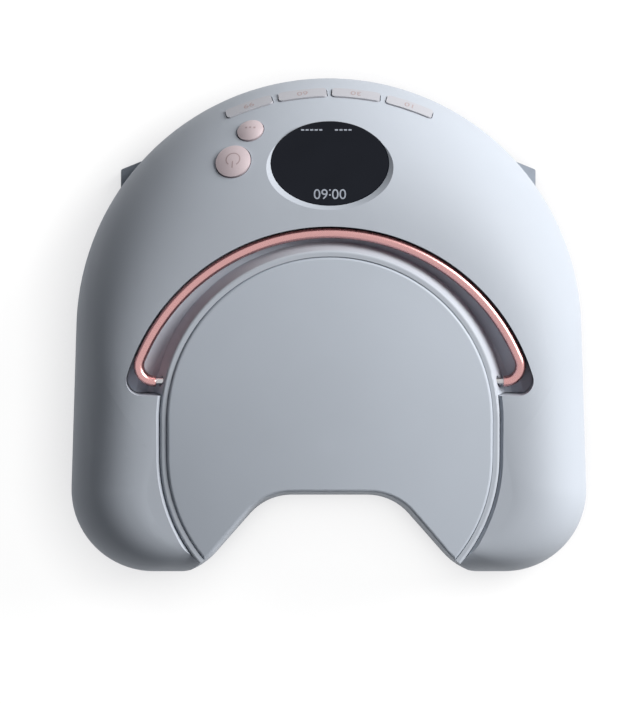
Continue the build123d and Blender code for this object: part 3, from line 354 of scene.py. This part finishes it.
def bail_mesh():
    right = Vector((1, 0, 0))
    slope = Vector((0, 1, DECK_SLOPE)).normalized()
    up = Vector((0, -DECK_SLOPE, 1)).normalized()
    origin = Vector((0, 0, DECK_HEIGHT)) - up * AXIS_DROP
    form = bmesh.new()
    loops = []
    for spot, out in bail_line():
        centre = origin + right * spot.x + slope * spot.y
        side = right * out.x + slope * out.y
        loop = []
        for k in range(SECTION_STEPS):
            turn = 2 * math.pi * k / SECTION_STEPS
            across = squared(math.cos(turn)) * SECTION_HALF[0]
            rise = squared(math.sin(turn)) * SECTION_HALF[1]
            loop.append(form.verts.new((centre + side * across + up * rise) * MM))
        loops.append(loop)
    for near, far in zip(loops, loops[1:]):
        for k in range(SECTION_STEPS):
            form.faces.new((near[k], near[k - 1], far[k - 1], far[k]))
    form.faces.new(loops[0])
    form.faces.new(loops[-1][::-1])
    bmesh.ops.recalc_face_normals(form, faces=form.faces[:])
    for face in form.faces:
        face.smooth = len(face.verts) == 4
    return mesh_from(form, "handle_bail")


bail = add_object("handle_bail", bail_mesh())
bail.data.materials.append(rose.material)
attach(bail, "handle")
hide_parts("handle")

# Pivot pins with their outer ends kept inside the rounded bail
pins = add_object("bail_pins", NODES["handle_pins"].data.copy())
pins.data.name = "bail_pins"
for vertex in pins.data.vertices:
    vertex.co.x = max(-PIN_END_X * MM, min(PIN_END_X * MM, vertex.co.x))
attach(pins, "handle")
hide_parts("handle_pins")


# Marks that lie on a curved face: flat outlines, cut fine and pressed onto the face
MARK_PROUD = 0.00004
MARK_THICKNESS = 0.00012
LONGEST_EDGE = 0.0006
CUT_ROUNDS = 2
SEARCH_HEIGHT = 0.01
TREES = {}


def tree(node):
    """Search tree of a node's faces, made once."""
    if node not in TREES:
        data = NODES[node].data
        TREES[node] = BVHTree.FromPolygons(
            [v.co.copy() for v in data.vertices], [tuple(p.vertices) for p in data.polygons]
        )
    return TREES[node]


def face_frame(node, start, direction):
    """Point and outward normal where a ray meets a node."""
    direction = Vector(direction)
    point, normal = tree(node).ray_cast(Vector(start), direction.normalized())[:2]
    if normal.dot(direction) > 0:
        normal = -normal
    return point, normal


def text_outline(name, words, size):
    """Flat mesh of generic numerals, centred, in the XY plane."""
    curve = bpy.data.curves.new(name, "FONT")
    curve.body = words
    curve.size = size
    curve.align_x = "CENTER"
    curve.align_y = "CENTER"
    carrier = add_object(name, curve)
    bpy.context.view_layer.update()
    evaluated = carrier.evaluated_get(bpy.context.evaluated_depsgraph_get())
    data = bpy.data.meshes.new_from_object(evaluated)
    bpy.data.objects.remove(carrier)
    return data


def press_on(name, flat, node, ray, up, finish, body):
    """Lays a flat mesh on a node's face where a ray meets it, with its top edge towards up."""
    point, normal = face_frame(node, *ray)
    side = Vector(up).cross(normal).normalized()
    place = Matrix((side, normal.cross(side), normal)).transposed().to_4x4()
    place.translation = point
    form = bmesh.new()
    form.from_mesh(flat)
    bmesh.ops.triangulate(form, faces=form.faces[:])
    for _ in range(CUT_ROUNDS):
        long_edges = [e for e in form.edges if e.calc_length() > LONGEST_EDGE]
        bmesh.ops.subdivide_edges(form, edges=long_edges, cuts=1, use_grid_fill=True)
        bmesh.ops.triangulate(form, faces=form.faces[:])
    for vertex in form.verts:
        spot = place @ vertex.co
        hit = tree(node).ray_cast(spot + normal * SEARCH_HEIGHT, -normal)[0]
        vertex.co = (hit if hit is not None else spot) + normal * MARK_PROUD
    grown = bmesh.ops.extrude_face_region(form, geom=form.faces[:])
    for item in grown["geom"]:
        if isinstance(item, bmesh.types.BMVert):
            item.co -= normal * MARK_THICKNESS
    bmesh.ops.recalc_face_normals(form, faces=form.faces[:])
    piece = add_object(name, mesh_from(form, name))
    piece.data.materials.append(finish.material)
    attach(piece, body)


def flat_mesh(name, outlines):
    """Flat mesh of closed outlines, each a list of points."""
    form = bmesh.new()
    for outline in outlines:
        form.faces.new([form.verts.new((x, y, 0)) for x, y in outline])
    return mesh_from(form, name)


def arc_band(radius, width, start, end, steps=28):
    """Closed strips along an arc, angles in degrees."""
    inner = radius - width / 2
    outer = radius + width / 2
    strips = []
    for k in range(steps):
        a = math.radians(start + (end - start) * k / steps)
        b = math.radians(start + (end - start) * (k + 1) / steps)
        corners = ((inner, a), (outer, a), (outer, b), (inner, b))
        strips.append([(r * math.cos(angle), r * math.sin(angle)) for r, angle in corners])
    return strips


def block(x, y, width, height):
    """Corners of a rectangle round a point."""
    w = width / 2
    h = height / 2
    return [(x - w, y - h), (x + w, y - h), (x + w, y + h), (x - w, y + h)]


mark_ink = moulded("mark_ink", srgb(168, 150, 152), 0.5)
display_ink = Finish("display_ink")
display_ink.set(Roughness=0.4, Emission_Color=srgb(170, 178, 190), Emission_Strength=0.16)
ink_tone = display_ink.ramp(
    display_ink.noise(200.0), (0.3, srgb(132, 138, 150)), (0.7, srgb(150, 156, 168))
)
display_ink.feed("Base Color", ink_tone)

UP = (0, 0, 1)
DOWN = (0, 0, -1)
FRONT = (0, -1, 0)

# Figures on the keys, upright for someone behind the lamp, and marks on the buttons
PRESS_AXES = {joint["child"]: Vector(joint["axis"]) for joint in JOINTS}
RAY_LENGTH = 0.05
KEY_FIGURE_SIZE = 0.0052
STROKE = 0.0005
RING_RADIUS = 0.0031
RING_SPAN = (125, 415)  # degrees
BAR_MIDDLE = 0.0026
BAR_LENGTH = 0.0032
DOT_SIDE = 0.0009
DOT_STEP = 1.9  # millimetres


def press_ray(node):
    """Start and direction of a ray at the middle of a button, the way that it is pressed."""
    low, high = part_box(node)
    return (low + high) / 2 - PRESS_AXES[node] * RAY_LENGTH, PRESS_AXES[node]


for k, seconds in enumerate(("99", "60", "30", "10"), 1):
    node = f"timer_key_{k}"
    name = f"key_figures_{seconds}"
    figures = text_outline(f"figures_{seconds}", seconds, KEY_FIGURE_SIZE)
    press_on(name, figures, node, press_ray(node), UP, mark_ink, node)

BUTTON_MARKS = {
    "power": [
        *arc_band(RING_RADIUS, STROKE, *RING_SPAN),
        block(0, BAR_MIDDLE, STROKE, BAR_LENGTH),
    ],
    "mode": [block(k * DOT_STEP * MM, 0, DOT_SIDE, DOT_SIDE) for k in (-1, 0, 1)],
}
for name, outlines in BUTTON_MARKS.items():
    node = f"{name}_button"
    mark = flat_mesh(f"{name}_mark", outlines)
    ray = press_ray(node)
    press_on(f"{name}_mark", mark, node, ray, FRONT, mark_ink, node)

# Figures and bars on the display, upright for someone behind the lamp
DISPLAY_FIGURE_SIZE = 0.0066
FIGURES_DROP = 0.0133
BARS_RISE = 0.0152
BAR_SIZE = (0.0014, 0.0007)
BAR_PLACES = (-9, -7, -5, -3, 4, 6, 8, 10, 12)  # millimetres
ABOVE_LAMP = 0.3
LENS_Y = sum(corner.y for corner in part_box("display_lens")) / 2

figures = text_outline("display_figures", "00:60", DISPLAY_FIGURE_SIZE)
bars = flat_mesh("display_bars", [block(x * MM, 0, *BAR_SIZE) for x in BAR_PLACES])
for name, mark, rise in (
    ("display_figures", figures, -FIGURES_DROP),
    ("display_bars", bars, BARS_RISE),
):
    ray = ((0.0, LENS_Y + rise, ABOVE_LAMP), DOWN)
    press_on(name, mark, "display_lens", ray, FRONT, display_ink, "lamp")


# Dies of the light-emitting diodes, seen on their lenses from inside the hand space
DIE_SIDE = 0.0016
VIEW_DISTANCE = 0.015
SAME_POINT = 0.00001
SORT_DIGITS = 5


def island_boxes(node):
    """Lowest and highest corner of each separate solid of a node, in a fixed order."""
    form = bmesh.new()
    form.from_mesh(NODES[node].data)
    bmesh.ops.remove_doubles(form, verts=form.verts[:], dist=SAME_POINT)
    waiting = set(form.verts)
    boxes = []
    while waiting:
        front = [waiting.pop()]
        island = list(front)
        while front:
            vertex = front.pop()
            for edge in vertex.link_edges:
                other = edge.other_vert(vertex)
                if other in waiting:
                    waiting.remove(other)
                    front.append(other)
                    island.append(other)
        spots = [v.co for v in island]
        low = Vector([min(spot[k] for spot in spots) for k in range(3)])
        high = Vector([max(spot[k] for spot in spots) for k in range(3)])
        boxes.append((low, high))
    form.free()
    return sorted(boxes, key=lambda box: tuple(round(c, SORT_DIGITS) for c in box[0]))


die_yellow = moulded("die_yellow", srgb(226, 206, 128), 0.4, grain=1500.0, spread=0.05)
for k, (low, high) in enumerate(island_boxes("led_lenses"), 1):
    name = f"led_die_{k}"
    centre = (low + high) / 2
    depth = high - low
    thinnest = min(range(3), key=lambda axis: depth[axis])
    in_roof = thinnest == 2
    direction = Vector((0, 0, 0))
    direction[thinnest] = 1.0 if in_roof or centre[thinnest] > 0 else -1.0
    ray = (centre - direction * VIEW_DISTANCE, direction)
    top = (0, 1, 0) if in_roof else UP
    die = flat_mesh(name, [block(0, 0, DIE_SIDE, DIE_SIDE)])
    press_on(name, die, "led_lenses", ray, top, die_yellow, "lamp")


# Floor: white to the camera where it is open, with painted contact shade from an occlusion
# ramp near the lamp, and the lamp's real cast shadow
FLOOR_HALF = 6.0
FLOOR_MATT = (0.2, 0.2, 0.2, 1)
FLOOR_BOUNCE = (0.8, 0.8, 0.8, 1)
CONTACT_DISTANCE = 0.03
CONTACT_SAMPLES = 8
PAINTED_CONTACT_SHADE_STOPS = ((0.35, (0.66, 0.66, 0.67, 1)), (1.0, (0.96, 0.96, 0.96, 1)))


def any_ray(nodes, links):
    """1 for rays from the camera, and for those that metal and glass send on."""
    light_path = nodes.new("ShaderNodeLightPath")
    total = light_path.outputs["Is Camera Ray"]
    for kind in ("Is Glossy Ray", "Is Transmission Ray"):
        larger = nodes.new("ShaderNodeMath")
        larger.operation = "MAXIMUM"
        links.new(total, larger.inputs[0])
        links.new(light_path.outputs[kind], larger.inputs[1])
        total = larger.outputs["Value"]
    return total


floor_data = bpy.data.meshes.new("floor")
floor_corners = [(x * FLOOR_HALF, y * FLOOR_HALF, 0) for x, y in block(0, 0, 2, 2)]
floor_data.from_pydata(floor_corners, [], [(0, 1, 2, 3)])
floor = add_object("floor", floor_data)

floor_finish = bpy.data.materials.new("floor_paper")
floor_finish.use_nodes = True
nodes = floor_finish.node_tree.nodes
links = floor_finish.node_tree.links
nodes.clear()
out = nodes.new("ShaderNodeOutputMaterial")
matt = nodes.new("ShaderNodeBsdfDiffuse")
matt.inputs["Color"].default_value = FLOOR_MATT
contact = nodes.new("ShaderNodeAmbientOcclusion")
contact.inputs["Distance"].default_value = CONTACT_DISTANCE
contact.samples = CONTACT_SAMPLES
# Painted contact shade: occlusion near the lamp darkens the floor's glow to the camera
painted_contact_shade = nodes.new("ShaderNodeValToRGB")
for element, (position, colour) in zip(painted_contact_shade.color_ramp.elements, PAINTED_CONTACT_SHADE_STOPS):
    element.position = position
    element.color = colour
glow_with_painted_shade = nodes.new("ShaderNodeEmission")
both = nodes.new("ShaderNodeAddShader")
bounce = nodes.new("ShaderNodeBsdfDiffuse")
bounce.inputs["Color"].default_value = FLOOR_BOUNCE
choice = nodes.new("ShaderNodeMixShader")
links.new(contact.outputs["AO"], painted_contact_shade.inputs["Fac"])
links.new(painted_contact_shade.outputs["Color"], glow_with_painted_shade.inputs["Color"])
links.new(matt.outputs["BSDF"], both.inputs[0])
links.new(glow_with_painted_shade.outputs["Emission"], both.inputs[1])
links.new(any_ray(nodes, links), choice.inputs["Fac"])
links.new(bounce.outputs["BSDF"], choice.inputs[1])
links.new(both.outputs["Shader"], choice.inputs[2])
links.new(choice.outputs["Shader"], out.inputs["Surface"])
floor_data.materials.append(floor_finish)


# Light: one large soft box from the right and the rear, and a weak even sky
KEY_PLACE = (2.25, 1.2, 1.6)
KEY_TARGET = (0, 0, 0.05)
KEY_SIDE = 1.8
KEY_POWER = 140.0
KEY_COLOUR = (1.0, 0.985, 0.955)
SKY_COLOUR = (0.9, 0.94, 1.0, 1)
SKY_STRENGTH = 0.09
WHITE = (1, 1, 1, 1)

key_data = bpy.data.lights.new("key", "AREA")
key_data.shape = "RECTANGLE"
key_data.size = KEY_SIDE
key_data.size_y = KEY_SIDE
key_data.energy = KEY_POWER
key_data.color = KEY_COLOUR
key = add_object("key", key_data)
key.location = KEY_PLACE
key_aim = Vector(KEY_TARGET) - Vector(KEY_PLACE)
key.rotation_euler = key_aim.to_track_quat("-Z", "Y").to_euler()

world = bpy.data.worlds.new("studio")
bpy.context.scene.world = world
world.use_nodes = True
sky_nodes = world.node_tree.nodes
sky_links = world.node_tree.links
sky = sky_nodes["Background"]
sky.inputs["Color"].default_value = SKY_COLOUR
sky.inputs["Strength"].default_value = SKY_STRENGTH
seen = sky_nodes.new("ShaderNodeBackground")
seen.inputs["Color"].default_value = WHITE
seen.inputs["Strength"].default_value = 1.0
blend = sky_nodes.new("ShaderNodeMixShader")
sky_links.new(any_ray(sky_nodes, sky_links), blend.inputs["Fac"])
sky_links.new(sky.outputs["Background"], blend.inputs[1])
sky_links.new(seen.outputs["Background"], blend.inputs[2])
sky_links.new(blend.outputs["Shader"], sky_nodes["World Output"].inputs["Surface"])

bpy.context.scene.view_settings.view_transform = "Standard"
